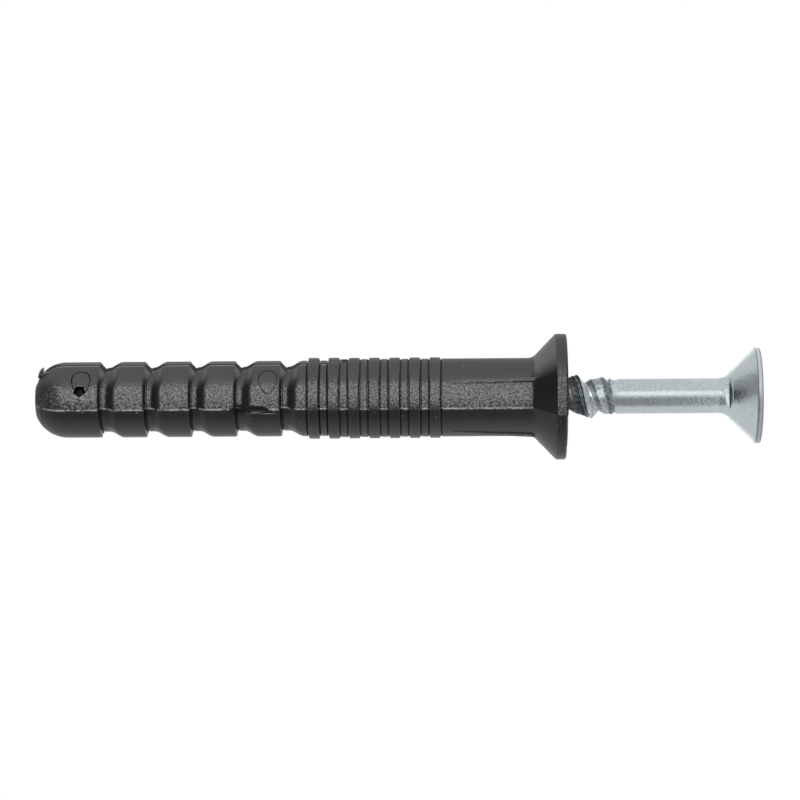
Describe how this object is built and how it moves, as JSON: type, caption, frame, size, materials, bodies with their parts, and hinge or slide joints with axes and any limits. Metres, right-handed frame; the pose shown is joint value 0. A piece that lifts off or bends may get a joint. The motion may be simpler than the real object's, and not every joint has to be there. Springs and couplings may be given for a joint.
{
  "type": "hammer fixing plug",
  "caption": "Slotted plastic sleeve with barbs, grip rings and a countersunk flange, holding a zinc-plated nail screw that is hammered in to spread its legs.",
  "frame": {"origin": "centre of the screw's head face, on the surface that the plug stands on", "axes": "+Z along the axis towards the sleeve's nose, X along the mould's pull, in the plane of the expansion slot"},
  "size_m": [0.0094, 0.0094, 0.0545],
  "materials": {
    "black_plastic": "moulded, fine spark-eroded grain",
    "zinc_plate": "bright zinc plate with a faint blue tint"
  },
  "bodies": {
    "sleeve": {"sleeve": "black_plastic"},
    "nail_screw": {"nail_screw": "zinc_plate"}
  },
  "joints": [
    {"name": "screw_drive", "type": "slide", "parent": "sleeve", "child": "nail_screw", "axis": [0, 0, 1], "range_m": [0, 0.0145]}
  ]
}
